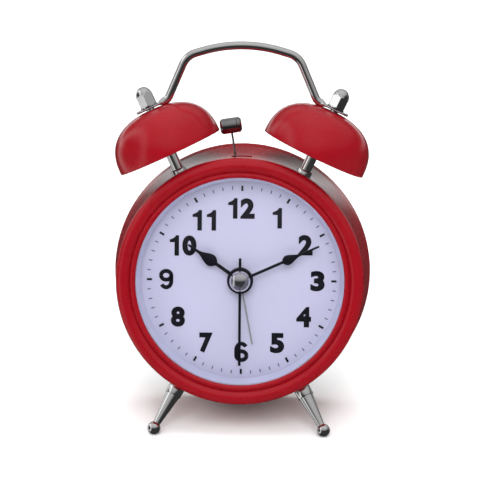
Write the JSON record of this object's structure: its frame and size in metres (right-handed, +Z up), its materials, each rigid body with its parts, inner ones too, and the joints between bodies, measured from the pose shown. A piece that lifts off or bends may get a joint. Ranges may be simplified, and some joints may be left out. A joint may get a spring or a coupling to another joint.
{
  "type": "alarm clock",
  "caption": "Round twin-bell alarm clock in red enamel with a chrome carrying handle, ball feet, a swinging hammer and a quartz movement.",
  "frame": {"origin": "centre of the bounding box in X and Y, on the surface that the clock stands on", "axes": "+Z up, -Y the way the dial looks, +X to the right of someone facing the dial"},
  "size_m": [0.0898, 0.057, 0.1268],
  "materials": {
    "red_enamel": "glossy stoved enamel",
    "chrome_plate": "polished",
    "hammer_steel": "turned, oiled",
    "plain_steel": "plain zinc plated",
    "brass": "plain",
    "clear_lens": "polished, clear",
    "printed_dial": "matt white print with black numerals",
    "white_ring": "satin",
    "white_plastic": "natural",
    "black_plastic": "fine texture",
    "black_hands": "satin black",
    "silver_hand": "satin",
    "copper_winding": "enamelled wire",
    "board": "solder mask",
    "battery_sleeve": "shrink sleeve"
  },
  "bodies": {
    "case": {"case_shell": "red_enamel", "front_bezel": "red_enamel", "lens": "clear_lens", "dial_ring": "white_ring", "dial": "printed_dial", "chassis": "white_plastic", "movement_front_housing": "white_plastic", "movement_back_plate": "white_plastic", "circuit_board": "board", "quartz_crystal": "plain_steel", "stator": "plain_steel", "coil": "copper_winding", "alarm_contact_spring": "brass", "battery": "battery_sleeve", "battery_spring_contact": "plain_steel", "battery_flat_contact": "plain_steel", "rear_cover": "black_plastic", "rear_cover_screw_1": "plain_steel", "rear_cover_screw_2": "plain_steel", "rear_cover_screw_3": "plain_steel", "rear_cover_screw_4": "plain_steel", "hammer_motor": "plain_steel", "hammer_pivot_pin": "plain_steel", "bell_left": "red_enamel", "bell_right": "red_enamel", "bell_post_left": "chrome_plate", "bell_post_right": "chrome_plate", "cap_nut_left": "chrome_plate", "cap_nut_right": "chrome_plate", "post_nut_left": "plain_steel", "post_nut_right": "plain_steel", "handle": "chrome_plate", "foot_left": "chrome_plate", "foot_right": "chrome_plate", "foot_nut_left": "plain_steel", "foot_nut_right": "plain_steel"},
    "minute_works": {"minute_hand": "black_hands", "cannon_pinion": "brass"},
    "hour_works": {"hour_hand": "black_hands", "hour_wheel": "white_plastic"},
    "minute_wheel_body": {"minute_wheel": "white_plastic"},
    "time_setting": {"time_set_knob": "black_plastic", "time_set_arbor": "white_plastic"},
    "alarm_works": {"alarm_hand": "silver_hand", "alarm_wheel": "white_plastic"},
    "alarm_setting": {"alarm_set_knob": "black_plastic", "alarm_set_arbor": "white_plastic"},
    "second_works": {"second_hand": "black_hands", "second_hand_cap": "chrome_plate", "second_arbor": "brass"},
    "third_wheel_body": {"third_wheel": "brass"},
    "centre_wheel_body": {"centre_wheel": "brass"},
    "step_wheel_body": {"step_wheel": "white_plastic"},
    "rotor_body": {"rotor": "plain_steel"},
    "hammer": {"hammer_lever": "black_plastic", "hammer_wire": "plain_steel", "hammer_head": "hammer_steel"},
    "crank": {"motor_crank": "brass"},
    "alarm_slide": {"alarm_switch": "white_plastic"},
    "battery_lid": {"battery_door": "black_plastic"}
  },
  "joints": [
    {"name": "minute_hand_turn", "type": "hinge", "parent": "case", "child": "minute_works", "pos_m": [0, -0.00402, 0.04893], "axis": [0, 0.9638, -0.2666], "continuous": true},
    {"name": "hour_hand_turn", "type": "hinge", "parent": "case", "child": "hour_works", "pos_m": [0, -0.00402, 0.04893], "axis": [0, 0.9638, -0.2666], "continuous": true},
    {"name": "minute_wheel_turn", "type": "hinge", "parent": "case", "child": "minute_wheel_body", "pos_m": [0.0084, -0.00484, 0.04916], "axis": [0, 0.9638, -0.2666], "continuous": true},
    {"name": "time_knob_turn", "type": "hinge", "parent": "case", "child": "time_setting", "pos_m": [0.0168, 0.01666, 0.04321], "axis": [0, 0.9638, -0.2666], "continuous": true},
    {"name": "alarm_hand_turn", "type": "hinge", "parent": "case", "child": "alarm_works", "pos_m": [0, -0.00402, 0.04893], "axis": [0, 0.9638, -0.2666], "continuous": true},
    {"name": "alarm_knob_turn", "type": "hinge", "parent": "case", "child": "alarm_setting", "pos_m": [-0.0168, 0.01666, 0.04321], "axis": [0, 0.9638, -0.2666], "continuous": true},
    {"name": "second_hand_turn", "type": "hinge", "parent": "case", "child": "second_works", "pos_m": [0, -0.00402, 0.04893], "axis": [0, 0.9638, -0.2666], "continuous": true},
    {"name": "third_wheel_turn", "type": "hinge", "parent": "case", "child": "third_wheel_body", "pos_m": [0, -0.00122, 0.05584], "axis": [0, 0.9638, -0.2666], "continuous": true},
    {"name": "centre_wheel_turn", "type": "hinge", "parent": "case", "child": "centre_wheel_body", "pos_m": [0, -0.00402, 0.04893], "axis": [0, 0.9638, -0.2666], "continuous": true},
    {"name": "step_wheel_turn", "type": "hinge", "parent": "case", "child": "step_wheel_body", "pos_m": [0, -0.00342, 0.04151], "axis": [0, 0.9638, -0.2666], "continuous": true},
    {"name": "rotor_turn", "type": "hinge", "parent": "case", "child": "rotor_body", "pos_m": [0, -0.00584, 0.03595], "axis": [0, 0.9638, -0.2666], "continuous": true},
    {"name": "hammer_swing", "type": "hinge", "parent": "case", "child": "hammer", "pos_m": [0, 0.00503, 0.07621], "axis": [0, 0.9638, -0.2666], "range_deg": [0, 18.41]},
    {"name": "motor_crank_turn", "type": "hinge", "parent": "case", "child": "crank", "pos_m": [0, 0.00876, 0.06791], "axis": [0, 0.9638, -0.2666], "range_deg": [0, 180.5]},
    {"name": "alarm_switch_slide", "type": "slide", "parent": "case", "child": "alarm_slide", "axis": [1, 0, 0], "range_m": [0, 0.004]},
    {"name": "battery_door_hinge", "type": "hinge", "parent": "case", "child": "battery_lid", "pos_m": [0, 0.00865, 0.01425], "axis": [-1, 0, 0], "range_deg": [0, 80]}
  ],
  "couplings": [
    {"joint": "hour_hand_turn", "follows": "minute_hand_turn", "ratio": 0.083333},
    {"joint": "minute_wheel_turn", "follows": "minute_hand_turn", "ratio": -0.33333},
    {"joint": "time_knob_turn", "follows": "minute_hand_turn", "ratio": 1},
    {"joint": "alarm_knob_turn", "follows": "alarm_hand_turn", "ratio": -3},
    {"joint": "third_wheel_turn", "follows": "second_hand_turn", "ratio": -0.13333},
    {"joint": "centre_wheel_turn", "follows": "second_hand_turn", "ratio": 0.016667},
    {"joint": "step_wheel_turn", "follows": "second_hand_turn", "ratio": -6},
    {"joint": "rotor_turn", "follows": "second_hand_turn", "ratio": 30},
    {"joint": "motor_crank_turn", "follows": "hammer_swing", "ratio": 9.779}
  ]
}
